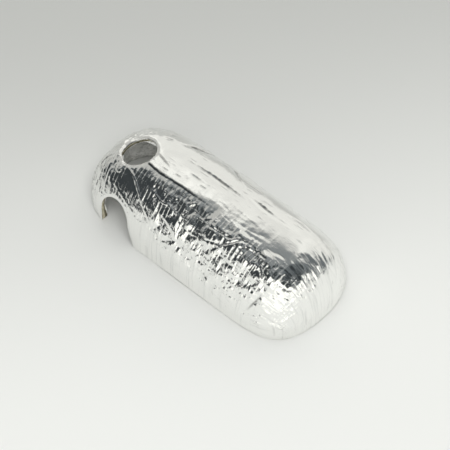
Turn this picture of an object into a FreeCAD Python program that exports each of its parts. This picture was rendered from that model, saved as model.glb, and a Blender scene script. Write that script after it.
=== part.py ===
"""A moulded heat shield that covers an exhaust manifold: a deep trough, closed at both ends and open
underneath, made of a glass-fibre mat faced with aluminium foil outside and a grey liner inside.

Frame, in millimetres: the open rim lies in z = 0, +Z points up through the crown, +X runs along the
shield from its domed tail to its blunt nose, and the origin is the middle of the rim's outline.
The wall is a laminate. Each ply is the space between two skins of one family, which differ only in
how far they lie inside the outermost one, so neighbouring plies share a skin exactly. Between the
foil and the mat lies a glass scrim: two sets of flat yarns, one set on top of the other.
"""

import FreeCAD
import Part
import math
import os
from FreeCAD import Vector

# The outermost skin.
LENGTH = 234.0
WIDTH = 100.0
HEIGHT = 66.0
RIM_WALL = 14.5  # upright wall between the rim and the springing of the dome
TAIL_SQUARENESS = 5.8  # superellipse exponents: 2 is an ellipse, more is squarer
NOSE_SQUARENESS = 8.0
FLANK_SQUARENESS = 2.35
CROWN_SQUARENESS = 1.75
CROWN_RISE = 0.03  # share by which the crown is higher at the nose than at mid-length
CROWN_SAG = 0.09  # share by which the crown drops towards both ends

# The plies, from the outside in.
FOIL = 0.25
SCRIM_SPACE = 0.5
OUTER_MAT = 1.3
INNER_MAT = 1.25
LINER = 0.25

# The yarns of the scrim.
YARN_WIDTH = 0.7
YARN_THICKNESS = 0.2
YARN_GAP = 0.03  # above, between and below the two sets
YARN_PITCH = 4.0
YARN_MARGIN = 4.0  # from the outermost yarn of a set to the springing of the dome

# The round hole in the tail's dome, square to the skin at its centre.
HOLE_RADIUS = 15.0
HOLE_X = -78.0
HOLE_Y = -7.0

# The arch in the front wall: upright on the tail side, flared on the nose side.
ARCH_RADIUS = 16.5
ARCH_X = -68.0
ARCH_TOP = 36.0
ARCH_FLARE_DEG = 16.4

SPANS_ALONG = 28
SPANS_ACROSS = 20
BEYOND = 80.0  # well outside the shield
BELOW_RIM = 6.0


def quarter_sine_steps(spans):
    """Numbers from -1 to 1, closest together at both ends, where the skin turns upright."""
    return [math.sin(math.radians(90.0 * (2.0 * i / spans - 1.0))) for i in range(spans + 1)]


def skin_point(u, v, inset):
    """The dome of the skin that lies inset inside the outermost one, for u and v from -1 to 1."""
    squareness = NOSE_SQUARENESS if u > 0 else TAIL_SQUARENESS
    along = abs(u) ** squareness
    across = abs(v) ** FLANK_SQUARENESS
    x = (LENGTH / 2 - inset) * u * (1 - across / 2) ** (1 / squareness)
    y = (WIDTH / 2 - inset) * v * (1 - along / 2) ** (1 / FLANK_SQUARENESS)
    share = 2 * x / LENGTH
    rise = (HEIGHT - RIM_WALL) * (1 + CROWN_RISE * share - CROWN_SAG * share * share) - inset
    z = RIM_WALL + rise * ((1 - along) * (1 - across)) ** (1 / CROWN_SQUARENESS)
    return Vector(x, y, z)


def skin_height(x, y):
    """Height of the outermost skin over a point of the plan."""
    squareness = NOSE_SQUARENESS if x > 0 else TAIL_SQUARENESS
    share = 2 * x / LENGTH
    inside = 1 - abs(share) ** squareness - abs(2 * y / WIDTH) ** FLANK_SQUARENESS
    rise = (HEIGHT - RIM_WALL) * (1 + CROWN_RISE * share - CROWN_SAG * share * share)
    return RIM_WALL + rise * max(0.0, inside) ** (1 / CROWN_SQUARENESS)


def closed_solid(faces):
    shell = Part.makeShell(faces)
    shell.sewShape()
    solid = Part.makeSolid(shell)
    if solid.Volume < 0:
        solid.reverse()
    return solid


def filled_skin(inset, foot):
    """The solid under a skin: its dome, its upright wall down to z = foot, and a flat bottom."""
    surface = Part.BSplineSurface()
    surface.interpolate([
        [skin_point(u, v, inset) for v in quarter_sine_steps(SPANS_ACROSS)]
        for u in quarter_sine_steps(SPANS_ALONG)
    ])
    dome = surface.toShape()
    drop = Vector(0, 0, foot - RIM_WALL)
    walls = [edge.extrude(drop) for edge in dome.Edges]
    outline = Part.Wire(Part.__sortEdges__([edge.translated(drop) for edge in dome.Edges]))
    return closed_solid([dome, *walls, Part.Face(outline)])


def hole_axis():
    """Centre of the hole on the outermost skin, and the skin's outward normal there."""
    step = 0.01
    centre = Vector(HOLE_X, HOLE_Y, skin_height(HOLE_X, HOLE_Y))
    slope_x = (skin_height(HOLE_X + step, HOLE_Y) - skin_height(HOLE_X - step, HOLE_Y)) / (2 * step)
    slope_y = (skin_height(HOLE_X, HOLE_Y + step) - skin_height(HOLE_X, HOLE_Y - step)) / (2 * step)
    normal = Vector(-slope_x, -slope_y, 1)
    normal.normalize()
    return centre, normal


def hole_cutter():
    centre, normal = hole_axis()
    reach = 15.0
    return Part.makeCylinder(HOLE_RADIUS, 2 * reach, centre - normal * reach, normal)


def arch_cutter():
    """The arch's outline, drawn level from outside the front wall to the shield's middle."""
    flare = math.radians(ARCH_FLARE_DEG)
    centre_z = ARCH_TOP - ARCH_RADIUS

    def at(x, z):
        return Vector(x, -BEYOND, z)

    def on_circle(angle):
        return at(ARCH_X + ARCH_RADIUS * math.cos(angle), centre_z + ARCH_RADIUS * math.sin(angle))

    tail_top, crown, nose_top = on_circle(math.pi), on_circle(math.pi / 2), on_circle(flare)
    tail_foot = at(tail_top.x, -BELOW_RIM)
    nose_foot = at(nose_top.x + (nose_top.z + BELOW_RIM) * math.tan(flare), -BELOW_RIM)
    outline = Part.Wire([
        Part.makeLine(tail_foot, tail_top),
        Part.Arc(tail_top, crown, nose_top).toShape(),
        Part.makeLine(nose_top, nose_foot),
        Part.makeLine(nose_foot, tail_foot),
    ])
    return Part.Face(outline).extrude(Vector(0, BEYOND, 0))


def with_openings(solid):
    """A solid with the hole and the arch cut through it, where it meets them."""
    for cutter in (hole_cutter(), arch_cutter()):
        if solid.BoundBox.intersect(cutter.BoundBox):
            solid = solid.cut(cutter)
    return solid


def ply(inset, thickness):
    """One ply of the wall, from the skin at the given inset inwards."""
    return with_openings(filled_skin(inset, 0.0).cut(filled_skin(inset + thickness, -BELOW_RIM)))


def yarn_sides(line):
    """Both sides of each yarn that crosses a line of the skin: pairs of the line's own parameter.

    The yarns are evenly spaced by length along the line, which is given as a function from -1 to 1.
    """
    steps = 4000
    parameters = [2.0 * i / steps - 1.0 for i in range(steps + 1)]
    points = [line(t) for t in parameters]
    lengths = [0.0]
    for before, after in zip(points, points[1:]):
        lengths.append(lengths[-1] + before.distanceToPoint(after))

    def parameter_at(length):
        return next(t for t, so_far in zip(parameters, lengths) if so_far >= length)

    count = int((lengths[-1] - 2 * YARN_MARGIN) / YARN_PITCH) + 1
    first = (lengths[-1] - (count - 1) * YARN_PITCH) / 2
    middles = [first + i * YARN_PITCH for i in range(count)]
    return [
        (parameter_at(middle - YARN_WIDTH / 2), parameter_at(middle + YARN_WIDTH / 2))
        for middle in middles
    ]


def long_edges(points):
    """A line over the dome, from springing to springing, with its straight drop to the rim at each end."""
    curve = Part.BSplineCurve()
    curve.interpolate(points)
    foot_first = Vector(points[0].x, points[0].y, 0)
    foot_last = Vector(points[-1].x, points[-1].y, 0)
    return [
        Part.makeLine(foot_first, points[0]),
        curve.toShape(),
        Part.makeLine(points[-1], foot_last),
    ]


def yarn(corner_lines):
    """A flat yarn from rim to rim, with its four long corners given in order round its section."""
    corners = [long_edges(points) for points in corner_lines]
    faces = []
    for these, those in zip(corners, corners[1:] + corners[:1]):
        faces += [Part.makeRuledSurface(this, that) for this, that in zip(these, those)]
    for first_or_last in (0, -1):
        feet = [edges[first_or_last].Vertexes[first_or_last].Point for edges in corners]
        faces.append(Part.Face(Part.makePolygon(feet + feet[:1])))
    return closed_solid(faces)


def yarns(crossed_line, line_at, inset):
    """A set of yarns, one for each place where crossed_line meets one, all cut by the openings."""
    pieces = []
    for low, high in yarn_sides(crossed_line):
        outer, inner = inset, inset + YARN_THICKNESS
        whole = yarn([line_at(low, outer), line_at(high, outer), line_at(high, inner), line_at(low, inner)])
        pieces += with_openings(whole).Solids
    return Part.makeCompound(pieces)


def cross_yarns(inset):
    return yarns(
        lambda u: skin_point(u, 0.0, inset),
        lambda u, depth: [skin_point(u, v, depth) for v in quarter_sine_steps(SPANS_ACROSS)],
        inset,
    )


def long_yarns(inset):
    return yarns(
        lambda v: skin_point(0.0, v, inset),
        lambda v, depth: [skin_point(u, v, depth) for u in quarter_sine_steps(SPANS_ALONG)],
        inset,
    )


def build():
    outer_mat_at = FOIL + SCRIM_SPACE
    inner_mat_at = outer_mat_at + OUTER_MAT
    liner_at = inner_mat_at + INNER_MAT
    return {
        "outer_foil": ply(0.0, FOIL),
        "scrim_cross_yarns": cross_yarns(FOIL + YARN_GAP),
        "scrim_long_yarns": long_yarns(FOIL + YARN_GAP + YARN_THICKNESS + YARN_GAP),
        "outer_mat": ply(outer_mat_at, OUTER_MAT),
        "inner_mat": ply(inner_mat_at, INNER_MAT),
        "inner_liner": ply(liner_at, LINER),
    }


os.makedirs("parts", exist_ok=True)
for node, shape in build().items():
    shape.exportStep(f"parts/{node}.step")
    box = shape.BoundBox
    print(node, "solids", len(shape.Solids), "valid", shape.isValid(), "volume", round(shape.Volume),
          "box", [round(v, 2) for v in (box.XMin, box.YMin, box.ZMin, box.XMax, box.YMax, box.ZMax)])
centre, normal = hole_axis()
print("hole centre", [round(v, 3) for v in centre], "axis", [round(v, 5) for v in normal])
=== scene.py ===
import math

import bpy
import numpy as np
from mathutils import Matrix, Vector, kdtree


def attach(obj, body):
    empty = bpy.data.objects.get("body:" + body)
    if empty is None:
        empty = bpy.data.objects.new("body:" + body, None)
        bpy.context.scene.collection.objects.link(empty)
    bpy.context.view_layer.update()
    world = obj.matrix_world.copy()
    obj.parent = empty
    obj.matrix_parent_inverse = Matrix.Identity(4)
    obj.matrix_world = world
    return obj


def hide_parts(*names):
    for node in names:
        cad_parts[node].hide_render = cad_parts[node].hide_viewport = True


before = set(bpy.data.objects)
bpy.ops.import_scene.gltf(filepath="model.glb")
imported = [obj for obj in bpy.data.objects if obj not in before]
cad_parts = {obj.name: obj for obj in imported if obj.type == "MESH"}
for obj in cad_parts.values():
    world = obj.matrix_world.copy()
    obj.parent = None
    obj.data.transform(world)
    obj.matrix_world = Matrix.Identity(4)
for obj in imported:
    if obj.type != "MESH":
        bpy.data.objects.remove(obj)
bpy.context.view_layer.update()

# The shield's outermost skin, in millimetres, as the frame has it.
LENGTH = 234.0
WIDTH = 100.0
HEIGHT = 66.0
RIM_WALL = 14.5
TAIL_SQUARENESS = 5.8
NOSE_SQUARENESS = 8.0
FLANK_SQUARENESS = 2.35
CROWN_SQUARENESS = 1.75
CROWN_RISE = 0.03
CROWN_SAG = 0.09
RISE = HEIGHT - RIM_WALL
MM = 0.001
FAR = 100.0

HOLE_CENTRE = np.array((-78.0, -7.0, 59.935))
HOLE_AXIS = np.array((-0.25718, -0.09227, 0.96195))
HOLE_RADIUS = 15.0
HOLE_REACH = 15.0
HOLE_SPARE = 0.3
HOLE_BULGE = 1.0
HOLE_BULGE_TURN = -0.82
HOLE_WAVES = ((2, 0.3, 0.6), (3, 0.22, 2.0), (7, 0.1, 0.0))
ARCH_X = -68.0
ARCH_RADIUS = 16.5
ARCH_SPRING = 19.5
ARCH_FLARE = math.radians(16.4)
ARCH_BEHIND = -20.0

YARN_PITCH = 4.0
LINES_A_YARN = 5
SHEET_MARKS = ("along", "around", "column", "row")
FOIL_MARKS = (*SHEET_MARKS, "crumple", "crease")
CORNER_BLEND = 8


# ---------------------------------------------------------------- node trees


class Field:
    """One output of a node. Arithmetic on it adds nodes to the same tree."""

    def __init__(self, tree, socket):
        self.tree = tree
        self.socket = socket

    def maths(self, operation, *others):
        return node_field(self.tree, "ShaderNodeMath", [self, *others], operation=operation)

    def __add__(self, other):
        return self.maths("ADD", other)

    def __sub__(self, other):
        return self.maths("SUBTRACT", other)

    def __mul__(self, other):
        return self.maths("MULTIPLY", other)

    def __truediv__(self, other):
        return self.maths("DIVIDE", other)

    def __pow__(self, other):
        return self.maths("POWER", other)

    def __abs__(self):
        return self.maths("ABSOLUTE")

    def __rsub__(self, other):
        return self * -1.0 + other

    def __rtruediv__(self, other):
        return node_field(self.tree, "ShaderNodeMath", [other, self], operation="DIVIDE")

    __radd__ = __add__
    __rmul__ = __mul__

    def least(self, other):
        return self.maths("MINIMUM", other)

    def most(self, other):
        return self.maths("MAXIMUM", other)

    def ramp(self, low, high, to_low=0.0, to_high=1.0):
        """A smooth step of this field: to_low up to low, to_high from high."""
        return node_field(
            self.tree, "ShaderNodeMapRange", [self, low, high, to_low, to_high],
            interpolation_type="SMOOTHSTEP",
        )

    def scaled(self, factor):
        """This vector times a number."""
        values = {0: self, "Scale": factor}
        return node_field(self.tree, "ShaderNodeVectorMath", values, operation="SCALE")

    def plus(self, other):
        return node_field(self.tree, "ShaderNodeVectorMath", [self, other], operation="ADD")

    def times(self, other):
        return node_field(self.tree, "ShaderNodeVectorMath", [self, other], operation="MULTIPLY")

    def parts(self):
        node = add_node(self.tree, "ShaderNodeSeparateXYZ", [self])
        return [Field(self.tree, socket) for socket in node.outputs]


def add_node(tree, kind, inputs=(), **settings):
    node = tree.nodes.new(kind)
    for name, value in settings.items():
        setattr(node, name, value)
    pairs = inputs.items() if isinstance(inputs, dict) else enumerate(inputs)
    for key, value in pairs:
        if isinstance(value, Field):
            tree.links.new(value.socket, node.inputs[key])
        else:
            node.inputs[key].default_value = value
    return node


def node_field(tree, kind, inputs=(), output=0, **settings):
    return Field(tree, add_node(tree, kind, inputs, **settings).outputs[output])


def vector_of(tree, *parts):
    return node_field(tree, "ShaderNodeCombineXYZ", parts)


def noise(place, size, seed=0.0, detail=1.0):
    """Smooth noise about zero, roughly from -0.5 to 0.5, whose waves are about size long."""
    values = {"Vector": place, "W": seed, "Scale": 1.0 / size, "Detail": detail}
    return node_field(place.tree, "ShaderNodeTexNoise", values, noise_dimensions="4D") - 0.5


def facets(place, size, seed, bend=1.1):
    """Crumpled facets: roofs and hollows that meet in sharp creases, about size across."""
    tree = place.tree
    sway = node_field(
        tree, "ShaderNodeTexNoise",
        {"Vector": place, "W": seed, "Scale": 0.6 / size, "Detail": 0.0},
        output="Color", noise_dimensions="4D",
    )
    cells = {"Vector": place.plus(sway.scaled(size * bend)), "W": seed, "Scale": 1.0 / size}
    edge = node_field(
        tree, "ShaderNodeTexVoronoi", cells,
        output="Distance", voronoi_dimensions="4D", feature="DISTANCE_TO_EDGE",
    )
    colour = node_field(
        tree, "ShaderNodeTexVoronoi", cells,
        output="Color", voronoi_dimensions="4D", feature="F1",
    )
    return edge * (colour.parts()[0] * 2.0 - 1.0) * size


def input_tree(name, numbers, objects=()):
    """A geometry tree with a mesh input, a named number for each of numbers, and object inputs."""
    tree = bpy.data.node_groups.new(name, "GeometryNodeTree")
    face = tree.interface
    face.new_socket(name="Geometry", in_out="INPUT", socket_type="NodeSocketGeometry")
    for label, value in numbers.items():
        socket = face.new_socket(name=label, in_out="INPUT", socket_type="NodeSocketFloat")
        socket.default_value = value
    for label in objects:
        face.new_socket(name=label, in_out="INPUT", socket_type="NodeSocketObject")
    face.new_socket(name="Geometry", in_out="OUTPUT", socket_type="NodeSocketGeometry")
    given = tree.nodes.new("NodeGroupInput")
    return tree, {socket.name: Field(tree, socket) for socket in given.outputs if socket.name}


def end_tree(tree, geometry, material):
    real = node_field(tree, "GeometryNodeRealizeInstances", {"Geometry": geometry})
    dressed = add_node(tree, "GeometryNodeSetMaterial", {"Geometry": real, "Material": material})
    last = tree.nodes.new("NodeGroupOutput")
    tree.links.new(dressed.outputs[0], last.inputs[0])


def through_tree(mesh, tree, **values):
    """The plain mesh that a tree makes of another. An input's spaces are written as underscores."""
    holder = bpy.data.objects.new("holder", mesh)
    bpy.context.scene.collection.objects.link(holder)
    modifier = holder.modifiers.new("tree", "NODES")
    modifier.node_group = tree
    for item in tree.interface.items_tree:
        label = item.name.replace(" ", "_")
        if item.in_out == "INPUT" and label in values:
            modifier[item.identifier] = values[label]
    graph = bpy.context.evaluated_depsgraph_get()
    made = bpy.data.meshes.new_from_object(
        holder.evaluated_get(graph), preserve_all_data_layers=True, depsgraph=graph
    )
    bpy.data.objects.remove(holder)
    return made


def skin_tree(material):
    """Lays a flat sheet over the shield's shape.

    A vertex of the sheet is (u, v, drop): its place across the dome, from -1 to 1 each way, and how
    far down the upright wall it is, in millimetres.
    """
    tree, given = input_tree("shield skin", {
        "Length": LENGTH, "Width": WIDTH, "Height": HEIGHT, "Rim wall": RIM_WALL,
        "Tail squareness": TAIL_SQUARENESS, "Nose squareness": NOSE_SQUARENESS,
        "Flank squareness": FLANK_SQUARENESS, "Crown squareness": CROWN_SQUARENESS,
        "Crown rise": CROWN_RISE, "Crown sag": CROWN_SAG, "Inset": 0.0, "Rim wave": 0.0,
    })
    u, v, drop = node_field(tree, "GeometryNodeInputPosition").parts()
    tail, nose = given["Tail squareness"], given["Nose squareness"]
    square = tail + u.maths("GREATER_THAN", 0.0) * (nose - tail)
    flank = given["Flank squareness"]
    along = abs(u) ** square
    across = abs(v) ** flank
    x = (given["Length"] * 0.5 - given["Inset"]) * u * (1.0 - across * 0.5) ** (1.0 / square)
    y = (given["Width"] * 0.5 - given["Inset"]) * v * (1.0 - along * 0.5) ** (1.0 / flank)
    share = x * 2.0 / given["Length"]
    full = given["Height"] - given["Rim wall"]
    rise = full * (1.0 + given["Crown rise"] * share - given["Crown sag"] * share * share)
    inside = ((1.0 - along) * (1.0 - across)).most(0.0)
    z = given["Rim wall"] + (rise - given["Inset"]) * inside ** (1.0 / given["Crown squareness"])
    wave = noise(vector_of(tree, u * (LENGTH / 2), v * (WIDTH / 2), 0.0), 26.0, 3.0, 2.0)
    lift = (wave + 0.3).most(0.0) * given["Rim wave"] * (drop / given["Rim wall"]) ** 2.0
    place = vector_of(tree, x, y, z - drop + lift).scaled(MM)
    laid = node_field(
        tree, "GeometryNodeSetPosition", {"Geometry": given["Geometry"], "Position": place}
    )
    end_tree(tree, laid, material)
    return tree


# ---------------------------------------------------------------- flat sheets and openings


def even_steps(half, squareness_below, squareness_above, pitch):
    """Parameters from -1 to 1 at equal steps over the dome, and their lengths along it from 0."""
    fine = np.linspace(-1.0, 1.0, 20001)
    square = np.where(fine > 0, squareness_above, squareness_below)
    drop = RISE * np.maximum(1.0 - np.abs(fine) ** square, 0.0) ** (1.0 / CROWN_SQUARENESS)
    run = np.concatenate(([0.0], np.cumsum(np.hypot(np.diff(fine * half), np.diff(drop)))))
    run -= np.interp(0.0, fine, run)
    count_below, count_above = round(-run[0] / pitch), round(run[-1] / pitch)
    lengths = np.concatenate((
        np.linspace(run[0], 0.0, count_below + 1), np.linspace(0.0, run[-1], count_above + 1)[1:]
    ))
    return np.interp(lengths, run, fine), lengths, np.arange(-count_below, count_above + 1)


def flat_sheet(pitch, wall_rows):
    """A sheet of quads over the dome and down the wall, ready for the shield's skin tree.

    Its attributes: along and around are the lengths over the dome from its middle, and go on down
    the wall; column and row count the lines of the sheet from the middle, for patterns that have to
    fall on a line.
    """
    us, along, columns = even_steps(LENGTH / 2, TAIL_SQUARENESS, NOSE_SQUARENESS, pitch)
    vs, around, rows = even_steps(WIDTH / 2, FLANK_SQUARENESS, FLANK_SQUARENESS, pitch)
    nu, nv = len(us), len(vs)
    i, j = (a.ravel() for a in np.meshgrid(np.arange(nu), np.arange(nv), indexing="ij"))
    number = np.arange(nu * nv).reshape(nu, nv)
    corners = [number[:-1, :-1], number[1:, :-1], number[1:, 1:], number[:-1, 1:]]
    quads = [np.stack([c.ravel() for c in corners], axis=1)]
    edge = np.concatenate((number[:-1, 0], number[-1, :-1], number[:0:-1, -1], number[0, :0:-1]))
    above = edge
    drop, i_all, j_all = [np.zeros(nu * nv)], [i], [j]
    for row in range(1, wall_rows + 1):
        below = nu * nv + (row - 1) * len(edge) + np.arange(len(edge))
        quads.append(np.stack((below, np.roll(below, -1), np.roll(above, -1), above), axis=1))
        drop.append(np.full(len(edge), RIM_WALL * row / wall_rows))
        i_all.append(i[edge])
        j_all.append(j[edge])
        above = below
    drop, i, j = (np.concatenate(part) for part in (drop, i_all, j_all))
    mesh = bpy.data.meshes.new("sheet")
    points = np.stack((us[i], vs[j], drop), axis=1)
    mesh.from_pydata(points.tolist(), [], np.concatenate(quads).tolist())
    near_end = np.sign(us[i]) * abs(us[i]) ** CORNER_BLEND
    near_side = np.sign(vs[j]) * abs(vs[j]) ** CORNER_BLEND
    values = (along[i] + near_end * drop, around[j] + near_side * drop, columns[i], rows[j])
    for name, value in zip(SHEET_MARKS, values):
        write_values(mesh, name, value)
    return mesh


def points_of(mesh):
    flat = np.empty(len(mesh.vertices) * 3, np.float32)
    mesh.vertices.foreach_get("co", flat)
    return flat.reshape(-1, 3).astype(float)


def normals_of(mesh):
    flat = np.empty(len(mesh.vertices) * 3, np.float32)
    mesh.vertex_normals.foreach_get("vector", flat)
    return flat.reshape(-1, 3).astype(float)


def quads_of(mesh):
    flat = np.empty(len(mesh.loops), np.int32)
    mesh.loops.foreach_get("vertex_index", flat)
    return flat.reshape(-1, 4)


def write_values(mesh, name, values):
    mesh.attributes.new(name, "FLOAT", "POINT").data.foreach_set("value", values.astype(np.float32))


def values_of(mesh, name):
    flat = np.empty(len(mesh.vertices), np.float32)
    mesh.attributes[name].data.foreach_get("value", flat)
    return flat.astype(float)


def outside_hole(points):
    """How far points lie outside the round hole, in millimetres; negative is inside it.

    The hole is a little wider than its circle, with a bulge on one side and waves, each given as
    (how many round the hole, height, phase).
    """
    offset = points - HOLE_CENTRE
    depth = offset @ HOLE_AXIS
    level = offset - depth[:, None] * HOLE_AXIS
    turn = np.arctan2(level[:, 1], level[:, 0])
    uneven = HOLE_SPARE + HOLE_BULGE * np.cos(turn - HOLE_BULGE_TURN).clip(0.0) ** 2
    for count, height, phase in HOLE_WAVES:
        uneven = uneven + height * np.sin(count * turn + phase)
    reach = np.linalg.norm(level, axis=1) - HOLE_RADIUS - uneven
    return np.where(depth > -HOLE_REACH, reach, FAR)


def outside_arch(points):
    """How far points lie outside the arch in the front wall; negative is inside it."""
    x, z = points[:, 0] - ARCH_X, points[:, 2] - ARCH_SPRING
    ring = np.hypot(x, z) - ARCH_RADIUS
    flare = x * math.cos(ARCH_FLARE) + z * math.sin(ARCH_FLARE) - ARCH_RADIUS
    legs = np.maximum(np.maximum(-ARCH_RADIUS - x, flare), z)
    return np.where(points[:, 1] < ARCH_BEHIND, np.minimum(ring, legs), FAR)


def outside_openings(points):
    return np.minimum(outside_hole(points), outside_arch(points))


def open_edges(quads):
    """Pairs of points: the edges of a sheet of quads that one quad has, the way that it runs."""
    pairs = np.concatenate([quads[:, [k, (k + 1) % 4]] for k in range(4)]).astype(np.int64)
    stride = quads.max() + 1
    forth = pairs[:, 0] * stride + pairs[:, 1]
    back = pairs[:, 1] * stride + pairs[:, 0]
    return pairs[~np.isin(forth, back)]


def edge_loops(quads):
    """The loops of open edges of a sheet of quads, each in the direction that its faces run."""
    follow = dict(open_edges(quads).tolist())
    loops = []
    while follow:
        start, after = follow.popitem()
        loop = [start]
        while after != start:
            loop.append(after)
            after = follow.pop(after)
        loops.append(loop)
    return loops


# How near the openings loose quads are dropped, and edge points slide onto the outlines.
TRIM_REACH = 3.0
SNAP_REACH = 2.0
SNAP_ROUNDS = 3
SNAP_STEP = 0.01
LEAST_STEEPNESS = 0.2


def without_corners(quads, loose):
    """Drops quads that hang on the sheet by one corner, so that every open edge joins one loop."""
    while True:
        starts, counts = np.unique(open_edges(quads)[:, 0], return_counts=True)
        pinched = starts[counts > 1]
        if not len(pinched):
            return quads
        quads = quads[~(np.isin(quads, pinched).any(axis=1) & loose(quads))]


def cut_openings(points, quads):
    """The quads that are left round the openings."""
    kept = quads[outside_openings(points[quads].mean(axis=1)) > 0]
    return without_corners(kept, lambda q: outside_openings(points[q].mean(axis=1)) < TRIM_REACH)


def onto_outlines(points, normals, loops):
    """Slides the points of the loops round the openings along the skin, onto the outlines."""
    moved = points.copy()
    for loop in loops:
        loop = np.array(loop)
        near = loop[outside_openings(points[loop]) < SNAP_REACH]
        for _ in range(SNAP_ROUNDS):
            place, normal = moved[near], normals[near]
            gap = outside_openings(place)
            slope = np.stack(
                [(outside_openings(place + SNAP_STEP * axis) - gap) / SNAP_STEP for axis in np.eye(3)],
                axis=1,
            )
            slope -= (slope * normal).sum(axis=1)[:, None] * normal
            steepness = (slope ** 2).sum(axis=1)[:, None].clip(LEAST_STEEPNESS)
            moved[near] = place - gap[:, None] * slope / steepness
    return moved


# ---------------------------------------------------------------- relief

# Reaches of the large folds in the foil, in millimetres.
RIDGE_WIDTH = 1.4
CROWN_FALL = 9.0
TERRACE_RUN = 4.5
TERRACE_FALL = 8.0
BRINK_WIDTH = 1.1
GROOVE_FLOOR = 1.3
GROOVE_FAR_RUN = 6.0
GROOVE_NEAR_RUN = 4.0
PINCH_WIDTH = 1.8

# How far from a fold's line the painted shade of its bottom reaches.
STEP_SHADE = 1.5
GROOVE_SHADE = 1.3
PINCH_SHADE = 1.2


def named(tree, name):
    return node_field(tree, "GeometryNodeInputNamedAttribute", {"Name": name}, data_type="FLOAT")


def stored(tree, geometry, name, value):
    """The geometry with a value kept on each of its points."""
    return node_field(
        tree, "GeometryNodeStoreNamedAttribute",
        {"Geometry": geometry, "Name": name, "Value": value}, data_type="FLOAT", domain="POINT",
    )


def raised(tree, sheet, height):
    """The sheet with its points moved along their normals, by a height in millimetres."""
    normal = node_field(tree, "GeometryNodeInputNormal")
    offset = normal.scaled(height * MM)
    return node_field(tree, "GeometryNodeSetPosition", {"Geometry": sheet, "Offset": offset})


def line_pattern(count, every, reach):
    """1 on every so many lines of the sheet, falling to 0 within reach lines."""
    nearest = (count / every).maths("ROUND") * every
    return (1.0 - abs(count - nearest) / reach).most(0.0)


def within(gap, reach):
    """1 on a line, falling to 0 at reach from it."""
    return (1.0 - gap / reach).most(0.0)


def close_to(tree, sheet, lines, waver):
    """Distance in millimetres from the sheet to curves laid on it, which side, and their height there.

    The curves are first dropped onto the sheet. The distance is made ragged by waver. The side is 0
    towards -Y and 1 towards +Y, and the height is the curves' own radius.
    """
    drawn = node_field(tree, "GeometryNodeObjectInfo", {"Object": lines}, output="Geometry")
    short = node_field(
        tree, "GeometryNodeResampleCurve", {"Curve": drawn, "Length": 0.6 * MM}, mode="LENGTH"
    )
    onto = node_field(
        tree, "GeometryNodeProximity", {0: sheet}, output="Position", target_element="FACES"
    )
    laid = node_field(tree, "GeometryNodeSetPosition", {"Geometry": short, "Position": onto})
    radius = node_field(tree, "GeometryNodeInputRadius")
    wires = node_field(tree, "GeometryNodeCurveToMesh", {"Curve": stored(tree, laid, "fold", radius)})
    near = add_node(tree, "GeometryNodeProximity", {0: wires}, target_element="EDGES")
    place = Field(tree, near.outputs["Position"])
    gap = Field(tree, near.outputs["Distance"]) / MM
    here = node_field(tree, "GeometryNodeInputPosition").parts()[1]
    side = (here - place.parts()[1]).maths("SIGN").ramp(-0.5, 0.5)
    nearest = node_field(tree, "GeometryNodeSampleNearest", {"Geometry": wires}, domain="POINT")
    height = node_field(
        tree, "GeometryNodeSampleIndex",
        {"Geometry": wires, "Value": named(tree, "fold"), "Index": nearest},
        data_type="FLOAT", domain="POINT",
    )
    return (gap + waver).most(0.0), side, height


def with_folds(tree, given, place, broken, height, crease):
    """A height and the painted shade of fold bottoms, with the large folds added: ridges, a terrace,
    grooves and pinches.
    """
    sheet, fold = given["Geometry"], given["Fold"]
    ragged = noise(place, 3.0, given["Seed"] + 31.0, 2.0)

    gap, _, size = close_to(tree, sheet, given["Ridge lines"], ragged * 0.8)
    crest = within(gap, RIDGE_WIDTH) ** 1.2
    height = height * (1.0 - crest * 0.6) + crest * size * 1.1 * fold

    gap, crown, size = close_to(tree, sheet, given["Step lines"], ragged * 2.0)
    crown_side = crown * within(gap, CROWN_FALL) ** 1.5
    level = (gap / TERRACE_RUN).least(1.0) * 0.65
    terrace = level * (1.0 - (gap - TERRACE_RUN) / TERRACE_FALL).least(1.0).most(0.0)
    front_side = (1.0 - crown) * terrace.most(within(gap, BRINK_WIDTH))
    height = height * gap.ramp(0.0, 5.0, 0.25, 1.0)
    height = height + (crown_side + front_side) * size * fold
    crease = crease + within(gap, STEP_SHADE) * size * broken

    gap, beyond, size = close_to(tree, sheet, given["Groove lines"], ragged * 2.0)
    wall = (gap / GROOVE_FLOOR).least(1.0) * 1.5 - 0.5
    far = wall * (1.2 - gap / GROOVE_FAR_RUN).least(1.0).most(0.0)
    near = within(gap, GROOVE_NEAR_RUN) * -0.5
    height = height + (far * beyond + near * (1.0 - beyond)) * size * fold
    crease = crease + within(gap, GROOVE_SHADE) * size * (broken + 0.3)

    gap, _, size = close_to(tree, sheet, given["Pinch lines"], ragged)
    height = height - within(gap, PINCH_WIDTH) * size * 0.8 * fold
    crease = crease + within(gap, PINCH_SHADE) * size
    return height, crease


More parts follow.
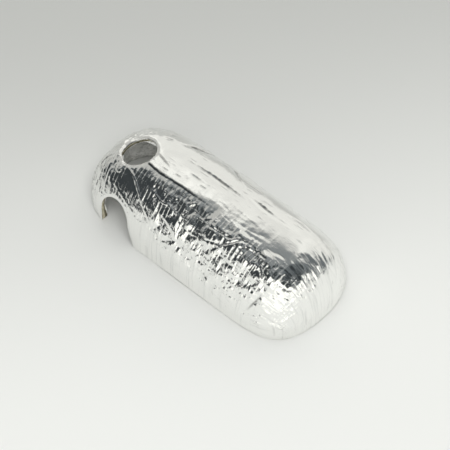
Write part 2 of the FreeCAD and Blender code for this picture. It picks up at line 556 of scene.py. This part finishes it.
def foil_relief_tree(material):
    """Crumples the foil once it lies over the shield. Sizes and heights are in millimetres.

    It also stores crumple, which is how crumpled the foil is, and crease, how dark the painted shade in a
    fold's bottom is.
    """
    tree, given = input_tree("foil relief", {
        "Seed": 0.0, "Crown crumple": 0.05, "Flank crumple": 1.0, "Tail crumple": 0.5,
        "Large facet slope": 0.7, "Middle facet slope": 0.7, "Small facet slope": 0.16,
        "Cross rib": 0.42, "Long rib": 0.06, "Groove": 0.34, "Pleat": 0.5, "Streak": 0.3,
        "Nose facet slope": 0.5, "Shoulder": 2.6, "Wrinkle slope": 0.4,
        "Dimple": 0.35, "Dent": 2.0, "Wave": 0.9, "Loft": 0.55, "Least": -0.12, "Fold": 1.0,
        "Edge margin": 2.5,
    }, objects=("Ridge lines", "Step lines", "Groove lines", "Pinch lines"))
    sheet, seed = given["Geometry"], given["Seed"]
    place = node_field(tree, "GeometryNodeInputPosition").scaled(1.0 / MM)
    along, around, column, row = (named(tree, name) for name in SHEET_MARKS)

    def across(size, squeeze, add):
        """Facets that are drawn out across the shield."""
        return facets(vector_of(tree, along, around * squeeze, 0.0), size, seed + add)

    # Zones of the shield, from 0 to 1, by their lengths over the dome.
    front = around.ramp(-12.0, -24.0)
    back = around.ramp(40.0, 62.0)
    low = (abs(around) - along.ramp(-5.0, 40.0) * 9.0).ramp(60.0, 78.0)
    nose = along.ramp(84.0, 106.0)
    tail = along.ramp(-66.0, -90.0)
    calm = along.ramp(-26.0, -46.0) * front
    shoulder = around.ramp(-9.0, -30.0) * around.ramp(-47.0, -31.0) * along.ramp(4.0, 26.0)
    wrinkled = around.ramp(-3.0, -14.0) * around.ramp(-46.0, -34.0) * along.ramp(-16.0, 12.0)
    patchy = noise(place, 22.0, seed + 3.0, 1.0)
    flank = (front + back * 0.8) * (1.0 - low * 0.8) * (1.0 - nose * 0.6)

    # Crumpled facets of three sizes.
    crumple = given["Crown crumple"] + flank * given["Flank crumple"] * (0.75 + patchy)
    crumple = crumple * (1.0 - calm * 0.72)
    crumple = crumple * (1.0 - tail) + given["Tail crumple"] * tail * (1.0 - low * 0.5)
    rough = (
        facets(place, 12.0, seed) * given["Large facet slope"]
        + across(5.5, 0.5, 11.0) * given["Middle facet slope"]
        + across(2.7, 0.4, 23.0) * given["Small facet slope"]
    )
    height = rough * crumple

    # The yarns under the foil print through as ribs.
    broken = noise(place, 8.0, seed + 17.0, 1.0).ramp(-0.16, 0.1, 0.1, 1.0)
    ribbed = flank * patchy.ramp(-0.14, 0.04, 0.15, 1.0).most(calm) * broken + 0.04
    height = height + line_pattern(column, LINES_A_YARN, 1.1) * ribbed * given["Cross rib"]
    height = height + line_pattern(row, LINES_A_YARN, 1.1) * (flank + 0.08) * given["Long rib"]

    # Short grooves along the crown, each on one line of the sheet.
    scatter = noise(vector_of(tree, along, row * 7.31, seed), 13.0, seed, 0.0)
    groove = scatter.ramp(0.18, 0.28) * (1.0 - front * 0.6) * (1.0 - nose)
    height = height - groove * given["Groove"]
    # Painted shade in the grooves' bottoms, kept for the foil's colour.
    crease = groove * 0.3

    # Pleats and facets that fan out over the nose.
    fan = noise(vector_of(tree, around, along * 0.1, 0.0), 3.0, seed + 5.0, 2.0)
    height = height + (0.3 - abs(fan) * 2.0) * nose * given["Pleat"]
    blunt = facets(vector_of(tree, around, along * 0.4, 0.0), 5.0, seed + 19.0)
    height = height + blunt * nose * given["Nose facet slope"]

    # The swollen front shoulder, with its lengthwise wrinkles.
    height = height + shoulder * (1.0 - nose) * given["Shoulder"]
    wrinkles = facets(vector_of(tree, along * 0.35, around, 0.0), 4.2, seed + 29.0)
    height = height + wrinkles * wrinkled * given["Wrinkle slope"]

    # Upright streaks on the wall, dimples at the tail, and dents and waves all over.
    lines = noise(vector_of(tree, along, around * 0.08, 0.0), 3.2, seed + 7.0, 1.0)
    height = height + lines * low * (1.0 - nose) * given["Streak"]
    height = height + noise(place, 3.4, seed + 9.0, 1.0) * tail * (1.0 - low) * given["Dimple"]
    height = height + noise(place, 38.0, seed + 13.0, 1.0) * given["Dent"]
    height = height + noise(place, 15.0, seed + 15.0, 1.0) * given["Wave"]
    height, crease = with_folds(tree, given, place, broken, height, crease)

    # The relief dies away towards the foil's edges.
    neighbours = node_field(tree, "GeometryNodeInputMeshEdgeNeighbors")
    is_open = neighbours.maths("LESS_THAN", 1.5)
    rims = node_field(
        tree, "GeometryNodeSeparateGeometry", {"Geometry": sheet, "Selection": is_open}, domain="EDGE"
    )
    to_rim = node_field(
        tree, "GeometryNodeProximity", {0: rims}, output="Distance", target_element="EDGES"
    ) / MM
    hold = (to_rim / given["Edge margin"]).ramp(0.0, 1.0, 0.12, 1.0)
    height = ((height + given["Loft"]) * hold).most(given["Least"])
    noted = stored(tree, sheet, "crumple", crumple * hold)
    noted = stored(tree, noted, "crease", crease)
    end_tree(tree, raised(tree, noted, height), material)
    return tree


def liner_tree(material):
    """Creases and dimples in the thin facing inside the shield. Sizes are in millimetres."""
    tree, given = input_tree("liner relief", {
        "Crease slope": 0.35, "Dimple slope": 0.3, "Swell": 0.5, "Least": -0.05,
    })
    place = node_field(tree, "GeometryNodeInputPosition").scaled(1.0 / MM)
    height = (
        facets(place, 13.0, 2.0) * given["Crease slope"]
        + facets(place, 5.0, 6.0, 0.6) * given["Dimple slope"]
        + noise(place, 16.0, 3.0, 1.0) * given["Swell"]
    )
    end_tree(tree, raised(tree, given["Geometry"], height.most(given["Least"])), material)
    return tree


def fold_lines(name, lines):
    """Fold lines as one curve object. A point is (x, y, z, height), in millimetres."""
    curve = bpy.data.curves.new(name, "CURVE")
    curve.dimensions = "3D"
    for points in lines:
        spline = curve.splines.new("NURBS")
        spline.points.add(len(points) - 1)
        for point, (x, y, z, height) in zip(spline.points, points):
            point.co = (x * MM, y * MM, z * MM, 1.0)
            point.radius = height
        spline.order_u = 3
        spline.use_endpoint_u = True
    drawn = bpy.data.objects.new(name, curve)
    bpy.context.scene.collection.objects.link(drawn)
    return drawn


# ---------------------------------------------------------------- closed meshes


def hem_direction(points, normals, loop):
    """For each point of an open loop, the way off the sheet's edge, level with the sheet."""
    before, after = points[np.roll(loop, 1)], points[np.roll(loop, -1)]
    run = after - before
    run /= np.linalg.norm(run, axis=1)[:, None].clip(1e-9)
    out = np.cross(run, normals[loop])
    return out / np.linalg.norm(out, axis=1)[:, None].clip(1e-9)


class Shell:
    """Collects points and faces of one closed mesh."""

    def __init__(self, points, faces):
        self.points = [points]
        self.count = len(points)
        self.faces = [list(face) for face in faces]

    def add_points(self, points):
        self.points.append(points)
        self.count += len(points)
        return np.arange(self.count - len(points), self.count)

    def band(self, loop, next_loop):
        """Quads between two rings; the first ring runs the way that the faces beside it do."""
        quads = np.stack((np.roll(loop, -1), loop, next_loop, np.roll(next_loop, -1)), axis=1)
        self.faces += quads.tolist()

    def mesh(self, name, material, **attributes):
        made = bpy.data.meshes.new(name)
        made.from_pydata((np.concatenate(self.points) * MM).tolist(), [], self.faces)
        for label, values in attributes.items():
            padded = np.zeros(self.count)
            padded[: len(values)] = values
            write_values(made, label, padded)
        made.materials.append(material)
        made.validate()
        made.shade_smooth()
        return made


def thinned(points, faces, border, share):
    """A coarser copy of a sheet with the same border points: its points and its faces."""
    mesh = bpy.data.meshes.new("thin")
    mesh.from_pydata(points.tolist(), [], faces)
    holder = bpy.data.objects.new("thin", mesh)
    bpy.context.scene.collection.objects.link(holder)
    inside = holder.vertex_groups.new(name="inside")
    inside.add(np.setdiff1d(np.arange(len(points)), border).tolist(), 1.0, "REPLACE")
    modifier = holder.modifiers.new("thin", "DECIMATE")
    modifier.ratio = share
    modifier.vertex_group = "inside"
    modifier.vertex_group_factor = 1000.0
    graph = bpy.context.evaluated_depsgraph_get()
    coarse = bpy.data.meshes.new_from_object(holder.evaluated_get(graph))
    bpy.data.objects.remove(holder)
    return points_of(coarse), normals_of(coarse), [list(p.vertices) for p in coarse.polygons]


def piece(name, mesh):
    made = bpy.data.objects.new(name, mesh)
    bpy.context.scene.collection.objects.link(made)
    return made


def laid_sheet(flat, tree, **values):
    """A flat sheet laid over the shield: its mesh, points in millimetres, and unit normals."""
    laid = through_tree(flat, tree, **values)
    return laid, points_of(laid) / MM, normals_of(laid)


def cut_sheet(flat, tree, **values):
    """A sheet laid over the shield with its openings cut, as a mesh that keeps its attributes."""
    laid, points, normals = laid_sheet(flat, tree, **values)
    quads = cut_openings(points, quads_of(laid))
    loops = edge_loops(quads)
    points = onto_outlines(points, normals, loops)
    points[:, 2] = points[:, 2].clip(0.0)
    used, numbers = np.unique(quads, return_inverse=True)
    quads = numbers.reshape(quads.shape)
    mesh = bpy.data.meshes.new("cut sheet")
    mesh.from_pydata((points[used] * MM).tolist(), [], quads.tolist())
    for name in SHEET_MARKS:
        write_values(mesh, name, values_of(laid, name)[used])
    return mesh


# The foil's hem: rings round its edge, each (how far out, how far down), and how much wider and
# deeper it is at the hole and elsewhere. FOIL_DEPTH is how far its coarse inside lies below it.
FOIL_HEM = ((0.22, 0.05), (0.34, 0.28), (0.30, 0.6))
HOLE_HEM = (1.2, 2.2)
OTHER_HEM = (0.35, 0.6)
FOIL_DEPTH = 0.62
FOIL_EDGE_DEPTH = 0.4
FOIL_INSIDE_SHARE = 0.07


def foil_piece(sheet, material):
    """A thin closed sheet: the crumpled outside, hems that turn over its edges, and a coarse inside."""
    points, normals, quads = points_of(sheet) / MM, normals_of(sheet), quads_of(sheet)
    shell = Shell(points, quads)
    loops = [np.array(loop) for loop in edge_loops(quads)]
    border = np.concatenate(loops)
    coarse, coarse_normals, coarse_faces = thinned(points, quads.tolist(), border, FOIL_INSIDE_SHARE)
    finder = kdtree.KDTree(len(coarse))
    for number, point in enumerate(coarse):
        finder.insert(point, number)
    finder.balance()
    matches = {int(b): finder.find(points[b])[1] for b in border}
    depth = np.full(len(coarse), FOIL_DEPTH)
    depth[list(matches.values())] = FOIL_EDGE_DEPTH
    inner = shell.add_points(coarse - coarse_normals * depth[:, None])
    shell.faces += [[int(inner[v]) for v in reversed(face)] for face in coarse_faces]
    for loop in loops:
        out = hem_direction(points, normals, loop)
        at_hole = abs(outside_hole(points[loop]))[:, None] < 1.0
        ring = loop
        for reach, down in FOIL_HEM:
            reach = np.where(at_hole, reach * HOLE_HEM[0], reach * OTHER_HEM[0])
            down = np.where(at_hole, down * HOLE_HEM[1], down * OTHER_HEM[1])
            place = points[loop] + out * reach - normals[loop] * down
            place[:, 2] = place[:, 2].clip(0.0)
            new_ring = shell.add_points(place)
            shell.band(ring, new_ring)
            ring = new_ring
        shell.band(ring, inner[[matches[int(v)] for v in loop]])
    marks = {name: values_of(sheet, name) for name in FOIL_MARKS}
    return piece("foil_facing", shell.mesh("foil_facing", material, **marks))


# The fibres of a cut edge sink in a little more than they stick out; at 0.5 they would do both alike.
FRAY_INWARD = 0.6


def splayed(points, inset):
    """The plies stand apart at the foot of the arch's leg on the tail side."""
    from_foot = np.hypot(points[:, 0] - ARCH_X + ARCH_RADIUS, points[:, 2] - SPLAY_HEIGHT)
    share = (1.0 - from_foot / SPLAY_REACH).clip(0.0) * (points[:, 1] < 0.0)
    moved = points.copy()
    moved[:, 1] += share ** SPLAY_CURVE * SPLAY * (inset / LINER_INSETS[1]) ** SPLAY_CURVE
    return moved


def ply_piece(name, flat, tree, outer, inner, material, edge_rows=4, fray=0.12, relief=None):
    """One ply of the wall as a closed mesh, with a rough cut edge round the rim and the openings.

    Its faces lie at insets outer and inner from the skin. Relief is a tree that its mesh goes through.
    """
    laid, outer_points, outer_normals = laid_sheet(flat, tree, Inset=outer, Rim_wave=RIM_WAVE)
    _, inner_points, inner_normals = laid_sheet(flat, tree, Inset=inner, Rim_wave=RIM_WAVE)
    quads = cut_openings(outer_points, quads_of(laid))
    loops = edge_loops(quads)
    outer_points = onto_outlines(outer_points, outer_normals, loops)
    inner_points = onto_outlines(inner_points, inner_normals, loops)
    outer_points, inner_points = splayed(outer_points, outer), splayed(inner_points, inner)
    shell = Shell(outer_points, quads)
    under = shell.add_points(inner_points)
    shell.faces += under[quads[:, ::-1]].tolist()
    for loop in loops:
        loop = np.array(loop)
        out = hem_direction(outer_points, outer_normals, loop)
        ring = loop
        for row in range(1, edge_rows):
            share = row / edge_rows
            place = outer_points[loop] * (1 - share) + inner_points[loop] * share
            place = place + out * (random.random(len(loop))[:, None] - FRAY_INWARD) * fray * 2
            place[:, 2] = place[:, 2].clip(0.0)
            new_ring = shell.add_points(place)
            shell.band(ring, new_ring)
            ring = new_ring
        shell.band(ring, under[loop])
    mesh = shell.mesh(name, material)
    if relief is not None:
        mesh = through_tree(mesh, relief)
        mesh.name = name
        flat_points = points_of(mesh)
        flat_points[:, 2] = flat_points[:, 2].clip(0.0)
        mesh.vertices.foreach_set("co", flat_points.ravel())
    return piece(name, mesh)


# ---------------------------------------------------------------- finishes

VIEW_AZIMUTH = 42.95
VIEW_ELEVATION = 50.26
VIEW_DISTANCE = 1.931
FLOOR_AZIMUTH = VIEW_AZIMUTH + 12.0
FLOOR_NEAR = -170.0
FLOOR_FAR = 330.0


def direction(azimuth, elevation):
    """Unit vector from the object towards a viewer; azimuth 0 is in front, at -Y."""
    a, e = math.radians(azimuth), math.radians(elevation)
    return Vector((math.sin(a) * math.cos(e), -math.cos(a) * math.cos(e), math.sin(e)))


def finish_material(name, base, metallic=0.0, roughness=0.5):
    material = bpy.data.materials.new(name)
    material.use_nodes = True
    tree = material.node_tree
    shader = next(node for node in tree.nodes if node.type == "BSDF_PRINCIPLED")
    shader.inputs["Base Color"].default_value = (*base, 1.0)
    shader.inputs["Metallic"].default_value = metallic
    shader.inputs["Roughness"].default_value = roughness
    place = node_field(tree, "ShaderNodeTexCoord", output="Object").scaled(1.0 / MM)
    return material, tree, shader, place


def set_bump(tree, shader, height, depth):
    """Bump from a height in units of depth, which is in millimetres."""
    values = {"Height": height, "Distance": depth * MM}
    bump = add_node(tree, "ShaderNodeBump", values)
    tree.links.new(bump.outputs["Normal"], shader.inputs["Normal"])


def blend_colours(tree, share, low, high):
    mix = add_node(tree, "ShaderNodeMix", data_type="RGBA")
    tree.links.new(share.socket, mix.inputs[0])
    mix.inputs[6].default_value = (*low, 1.0)
    mix.inputs[7].default_value = (*high, 1.0)
    return Field(tree, mix.outputs[2])


def mark(tree, name):
    return node_field(tree, "ShaderNodeAttribute", output="Fac", attribute_name=name)


def foil_material():
    """Bright foil: fine creases where it is crumpled, rolling marks, and painted shade in streaks low down
    and in the folds' bottoms.
    """
    material, tree, shader, place = finish_material("crumpled foil", (0.96, 0.96, 0.95), 1.0, 0.16)
    along, around, column, row, crumple, crease = (mark(tree, name) for name in FOIL_MARKS)
    nose = along.ramp(84.0, 106.0)
    wall = abs(around).ramp(52.0, 70.0)
    lower = abs(around).ramp(56.0, 74.0).most(nose)

    crisp = facets(place, 3.4, 4.0, 0.8) * 0.22 + facets(place, 1.5, 9.0, 0.5) * 0.08
    ribs = line_pattern(column, LINES_A_YARN, 0.5) * 0.16 + line_pattern(row, LINES_A_YARN, 0.4) * 0.05
    broken = noise(place, 6.0, 17.0, 1.0).ramp(-0.12, 0.1, 0.1, 1.0)
    fan = noise(vector_of(tree, around, along * 0.1, 0.0), 1.4, 5.0, 2.0) * nose * 0.3
    rolled = noise(place.times((0.5, 2.2, 2.2)), 1.3, 1.0, 2.0) * 0.06
    upright = noise(vector_of(tree, along, around * 0.1, 0.0), 1.6, 2.0, 2.0)
    rolled = rolled + upright * wall * 0.12
    share = (crumple + 0.04).least(1.2)
    set_bump(tree, shader, crisp * share + ribs * broken * share + fan + rolled, 1.0)

    worn = noise(place, 9.0, 3.0, 4.0).ramp(-0.15, 0.25, 0.1, 0.22)
    tree.links.new(worn.socket, shader.inputs["Roughness"])

    # Painted shade: dark streaks down the lower walls and over the nose stand in for the shade of pleats;
    # clouds vary the tone at random.
    side_streaks = noise(vector_of(tree, along, around * 0.06, 0.0), 2.2, 12.0, 2.0)
    nose_streaks = noise(vector_of(tree, around, along * 0.06, 0.0), 2.2, 14.0, 2.0)
    streaks = side_streaks * (1.0 - nose) + nose_streaks * nose
    clouds = noise(place, 30.0, 8.0, 2.0).ramp(-0.2, 0.2)
    painted_streak_shade_and_tone = streaks.ramp(0.0, 0.24) * lower * 0.6 + clouds * 0.12
    tint = blend_colours(tree, painted_streak_shade_and_tone, (0.975, 0.975, 0.955), (0.76, 0.765, 0.75))
    # Painted shade: the colour darkens in the bottoms of the folds.
    painted_crease_shade = 1.0 - crease.least(1.0) * 0.85
    tree.links.new(tint.scaled(painted_crease_shade).socket, shader.inputs["Base Color"])
    return material


def mat_material(name, dark, light, seed):
    """Needled glass fibre: tangled strands, with painted shade in the hollows between them."""
    material, tree, shader, place = finish_material(name, light, 0.0, 0.9)
    strands = noise(place.times((1.0, 1.0, 5.0)), 0.9, seed, 3.0)
    tufts = noise(place, 0.35, seed + 2.0, 3.0)
    clumps = noise(place, 3.5, seed + 4.0, 2.0)
    height = strands * 0.6 + tufts * 0.5
    set_bump(tree, shader, height, 0.35)
    # Painted shade: the colour darkens where the bump is low, in the hollows between strands; clumps vary
    # the tone at random.
    share = (height + clumps * 0.8).ramp(-0.3, 0.3)
    tree.links.new(blend_colours(tree, share, dark, light).socket, shader.inputs["Base Color"])
    return material


def liner_material():
    material, tree, shader, place = finish_material("grey liner", (0.85, 0.85, 0.82), 0.0, 0.5)
    creases = facets(place, 9.0, 3.0, 1.6) * 0.12 + facets(place, 3.6, 8.0, 0.8) * 0.2
    pits = noise(place, 1.1, 2.0, 3.0)
    blisters = noise(place, 4.2, 5.0, 2.0)
    set_bump(tree, shader, creases * 1.5 + pits * 0.5 + blisters * 0.8, 1.0)
    worn = noise(place, 7.0, 9.0, 3.0)
    # Painted shade: the colour darkens in the hollows of the creases, pits and blisters that the bump
    # shapes; worn varies the tone at random.
    share = (pits * 1.1 + blisters * 0.9 + worn + creases * 1.6).ramp(-0.42, 0.16)
    colour = blend_colours(tree, share, (0.58, 0.58, 0.55), (0.98, 0.98, 0.95))
    tree.links.new(colour.socket, shader.inputs["Base Color"])
    return material


def yarn_material():
    material, tree, shader, place = finish_material("glass yarn", (0.72, 0.7, 0.62), 0.0, 0.45)
    strands = noise(place.scaled(3.0), 0.5, 1.0, 2.0)
    set_bump(tree, shader, strands, 0.08)
    # Painted shade: the colour darkens where the strands' bump is low.
    colour = blend_colours(tree, strands.ramp(-0.3, 0.3), (0.55, 0.54, 0.47), (0.8, 0.79, 0.72))
    tree.links.new(colour.socket, shader.inputs["Base Color"])
    return material


def floor_material():
    """A pale floor with painted shade that darkens it towards the far side, between two places in
    millimetres.
    """
    material, tree, shader, place = finish_material("pale floor", (0.8, 0.8, 0.79), 0.0, 0.7)
    away = tuple(-direction(FLOOR_AZIMUTH, 0.0))
    depth = node_field(
        tree, "ShaderNodeVectorMath", [place, away], output="Value", operation="DOT_PRODUCT"
    )
    # Painted shade: the floor's colour darkens towards the far side, where the light falls off.
    share = depth.ramp(FLOOR_NEAR, FLOOR_FAR)
    colour = blend_colours(tree, share, (0.87, 0.875, 0.85), (0.57, 0.575, 0.555))
    tree.links.new(colour.socket, shader.inputs["Base Color"])
    return material


# ---------------------------------------------------------------- the shield

random = np.random.default_rng(7)
RIM_WAVE = 1.6
FOIL_INSET = 0.0
OUTER_MAT_INSETS = (0.75, 2.05)
INNER_MAT_INSETS = (2.05, 3.3)
LINER_INSETS = (3.3, 3.55)
FOIL_WALL_ROWS = 13
PLY_PITCH = 1.6
PLY_WALL_ROWS = 9
SPLAY = 3.0
SPLAY_HEIGHT = 2.0
SPLAY_REACH = 18.0
SPLAY_CURVE = 1.3

foil_finish = foil_material()
skin = skin_tree(foil_finish)

# The large folds of the foil. Each point is (x, y, z, height), in millimetres.
RIDGE_LINES = [
    [
        (-78, -23, 55, 0.2), (-65, -26, 56, 0.75), (-52, -34, 51, 0.8), (-37, -41, 42, 0.7),
        (-22, -45, 34, 0.2),
    ],
    [(-40, -29, 57, 0.2), (-31, -32, 54, 0.8), (-22, -30, 56, 0.9), (-12, -33, 54, 0.9), (0, -31, 56, 0.3)],
    [(-30, -36, 50, 0.2), (-20, -38, 49, 0.7), (-8, -41, 45, 0.7), (2, -44, 39, 0.2)],
    [(4, -26, 60, 0.2), (14, -27, 60, 0.7), (26, -26, 59, 0.7), (40, -25, 60, 0.2)],
    [(-10, -36, 51, 0.2), (0, -37, 50, 0.6), (14, -36, 51, 0.7), (26, -34, 53, 0.7), (36, -31, 55, 0.2)],
    [(36, -32, 55, 0.2), (43, -28, 58, 0.7), (50, -21, 62, 0.6), (60, -20, 62, 0.5), (74, -22, 60, 0.1)],
    [(-78, -36, 44, 0.05), (-66, -40, 42, 0.25), (-52, -44, 38, 0.25), (-40, -47, 30, 0.05)],
    [(-2, -47, 32, 0.1), (-2, -49, 22, 0.5), (-2, -50, 10, 0.5), (-2, -50, 0, 0.4)],
    [(59, -48, 26, 0.1), (59, -49, 18, 0.45), (59, -50, 8, 0.45), (59, -50, 0, 0.3)],
]
STEP_LINES = [
    [
        (-66, -13, 61, 0.9), (-58, -13, 62, 1.1), (-48, -15, 62, 0.8), (-30, -14, 63, 0.7),
        (-10, -14, 64, 0.6), (14, -14, 64, 0.1),
    ],
]
GROOVE_LINES = [
    [(-72, 19, 59, 0.2), (-68, 19, 59, 0.9), (-64, 20, 60, 0.2)],
    [(-55, 22, 60, 0.2), (-50, 25, 58, 1.0), (-42, 29, 56, 0.7), (-34, 35, 51, 0.2)],
    [(-38, 9, 65, 0.1), (-18, 10, 65, 0.7), (-2, 10, 65, 0.8), (15, 9, 65, 0.5), (24, 9, 65, 0.1)],
    [(30, 14, 65, 0.2), (37, 14, 64, 0.9), (44, 13, 64, 0.7), (54, 13, 64, 0.2)],
    [(-10, 33, 54, 0.2), (0, 27, 58, 0.7), (12, 21, 63, 0.2)],
    [(4, 28, 58, 0.1), (15, 27, 58, 0.7), (27, 26, 58, 0.1)],
    [(-60, -2, 63, 0.1), (-54, -4, 64, 0.6), (-46, -6, 64, 0.1)],
    [(20, -3, 66, 0.05), (36, -5, 66, 0.18), (58, -6, 66, 0.05)],
    [(62, 24, 59, 0.1), (70, 26, 58, 0.6), (80, 25, 57, 0.1)],
    [(-26, 0, 66, 0.05), (-16, -1, 66, 0.2), (-2, -1, 66, 0.05)],
]
PINCH_LINES = [
    [(-104, -28, 36, 0.1), (-103, -24, 40, 0.9), (-101, -19, 45, 0.8), (-96, -16, 50, 0.1)],
    [(-98, -29, 40, 0.1), (-97, -25, 45, 0.7), (-94, -20, 50, 0.1)],
    [(-104, -12, 44, 0.1), (-102, -9, 47, 0.7), (-99, -6, 50, 0.1)],
    [(79, -47, 24, 0.1), (82, -45, 31, 0.9), (85, -42, 37, 0.8), (87, -38, 44, 0.1)],
    [(-14, -50, 20, 0.1), (-13, -50, 13, 0.35), (-13, -50, 5, 0.1)],
    [(100, -40, 18, 0.1), (101, -39, 12, 0.35), (101, -39, 6, 0.1)],
    [(112, -18, 24, 0.1), (113, -18, 18, 0.35), (114, -18, 9, 0.1)],
]
FOLDS = {
    "Ridge_lines": fold_lines("ridge_lines", RIDGE_LINES),
    "Step_lines": fold_lines("step_lines", STEP_LINES),
    "Groove_lines": fold_lines("groove_lines", GROOVE_LINES),
    "Pinch_lines": fold_lines("pinch_lines", PINCH_LINES),
}
foil_flat = flat_sheet(YARN_PITCH / LINES_A_YARN, FOIL_WALL_ROWS)
foil_base = cut_sheet(foil_flat, skin, Inset=FOIL_INSET, Rim_wave=RIM_WAVE)
foil_sheet = through_tree(foil_base, foil_relief_tree(foil_finish), **FOLDS)
foil = foil_piece(foil_sheet, foil_finish)
for curve in FOLDS.values():
    bpy.data.objects.remove(curve)

ply_flat = flat_sheet(PLY_PITCH, PLY_WALL_ROWS)
cream = mat_material("cream mat", (0.34, 0.3, 0.19), (0.74, 0.7, 0.55), 1.0)
olive = mat_material("olive mat", (0.07, 0.065, 0.04), (0.24, 0.22, 0.15), 5.0)
grey = liner_material()
outer_mat = ply_piece("outer_mat_ply", ply_flat, skin, *OUTER_MAT_INSETS, cream)
inner_mat = ply_piece("inner_mat_ply", ply_flat, skin, *INNER_MAT_INSETS, olive)
liner = ply_piece(
    "inner_liner_facing", ply_flat, skin, *LINER_INSETS, grey,
    edge_rows=2, fray=0.05, relief=liner_tree(grey),
)

for made, node, slot in (
    (foil, "outer_foil", "foil"),
    (outer_mat, "outer_mat", "cream_mat"),
    (inner_mat, "inner_mat", "olive_mat"),
    (liner, "inner_liner", "grey_liner"),
):
    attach(made, "root")
    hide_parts(node)

yarn = yarn_material()
for node in ("scrim_cross_yarns", "scrim_long_yarns"):
    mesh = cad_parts[node].data
    mesh.materials.clear()
    mesh.materials.append(yarn)


# ---------------------------------------------------------------- floor, light and camera

MIDDLE = Vector((0.0, 0.0, 0.03))
FLOOR_HALF = 6.0
LAMP_DISTANCE = 2.4


def aim(made, place, target):
    made.location = place
    made.rotation_mode = "QUATERNION"
    made.rotation_quaternion = (target - place).to_track_quat("-Z", "Y")


def area_light(name, azimuth, elevation, size, power):
    """A square lamp that lights the shield and doesn't show in its foil."""
    data = bpy.data.lights.new(name, "AREA")
    data.size = size
    data.energy = power
    made = bpy.data.objects.new(name, data)
    bpy.context.scene.collection.objects.link(made)
    aim(made, direction(azimuth, elevation) * LAMP_DISTANCE, MIDDLE)
    made.visible_glossy = False


floor_mesh = bpy.data.meshes.new("floor")
corners = [(x * FLOOR_HALF, y * FLOOR_HALF, 0.0) for x, y in ((-1, -1), (1, -1), (1, 1), (-1, 1))]
floor_mesh.from_pydata(corners, [], [(0, 1, 2, 3)])
floor_mesh.materials.append(floor_material())
floor = piece("floor", floor_mesh)

world = bpy.data.worlds.new("studio")
bpy.context.scene.world = world
world.use_nodes = True
tree = world.node_tree
background = next(node for node in tree.nodes if node.type == "BACKGROUND")
way = node_field(tree, "ShaderNodeTexCoord", output="Generated")
level = node_field(
    tree, "ShaderNodeVectorMath", [way.times((1.0, 1.0, 0.0))], operation="NORMALIZE"
)
climb = way.parts()[2].maths("ARCSINE") * (180.0 / math.pi)


def panel(azimuth, half_width, low, high, soft):
    """A lit part of the studio, soft at its edges. Angles are in degrees; azimuth 0 is in front."""
    middle = tuple(direction(azimuth, 0.0))
    facing = node_field(
        tree, "ShaderNodeVectorMath", [level, middle], output="Value", operation="DOT_PRODUCT"
    )
    wide, narrow = (math.cos(math.radians(half_width + s)) for s in (soft, -soft))
    upright = climb.ramp(low - soft, low + soft) * climb.ramp(high + soft, high - soft)
    return facing.ramp(wide, narrow) * upright


# The studio's lit parts: turn from the camera's side, half width, lowest, highest, how soft, how bright.
PANELS = (
    (150.0, 47.0, -90.0, 62.0, 8.0, 0.77),
    (218.0, 25.0, -90.0, 62.0, 8.0, 0.46),
    (33.0, 34.0, -12.0, 25.0, 7.0, 1.2),
    (-27.0, 28.0, -12.0, 46.0, 6.0, 1.1),
    (83.0, 18.0, -10.0, 75.0, 6.0, 0.1),
)
STUDIO_DARK = 0.045
CEILING = 0.2
BACKDROP = 0.72

studio = STUDIO_DARK
for turn, half_width, low, high, soft, bright in PANELS:
    studio = studio + panel(VIEW_AZIMUTH + turn, half_width, low, high, soft) * bright
studio = studio + climb.ramp(58.0, 74.0) * CEILING
studio = studio * (1.0 + noise(way, 0.22, 2.0, 2.0) * 0.55)
seen = node_field(tree, "ShaderNodeLightPath", output="Is Camera Ray")
studio = studio * (1.0 - seen) + seen * BACKDROP

# Darker parts are a little cooler.
cool = studio.ramp(0.0, 0.5, 1.0, 0.0)
red, green, blue = 1.0 - cool * 0.1, 1.0 + cool * 0.03, 0.955 + cool * 0.15
colour = vector_of(tree, studio * red, studio * green, studio * blue)
tree.links.new(colour.socket, background.inputs["Color"])

area_light("overhead", 0.0, 88.0, 2.5, 18.0)
area_light("key", VIEW_AZIMUTH + 8.0, 58.0, 1.2, 24.0)

camera_data = bpy.data.cameras.new("camera")
camera_data.sensor_width = 36.0
camera_data.lens = 190.16488
camera_data.shift_x = 0.0222
camera_data.shift_y = -0.014
camera_data.clip_start = 0.05
camera_data.clip_end = 20.0
camera = bpy.data.objects.new("camera", camera_data)
bpy.context.scene.collection.objects.link(camera)
aim(camera, MIDDLE + direction(VIEW_AZIMUTH, VIEW_ELEVATION) * VIEW_DISTANCE, MIDDLE)
bpy.context.scene.camera = camera
bpy.context.scene.view_settings.view_transform = "Standard"
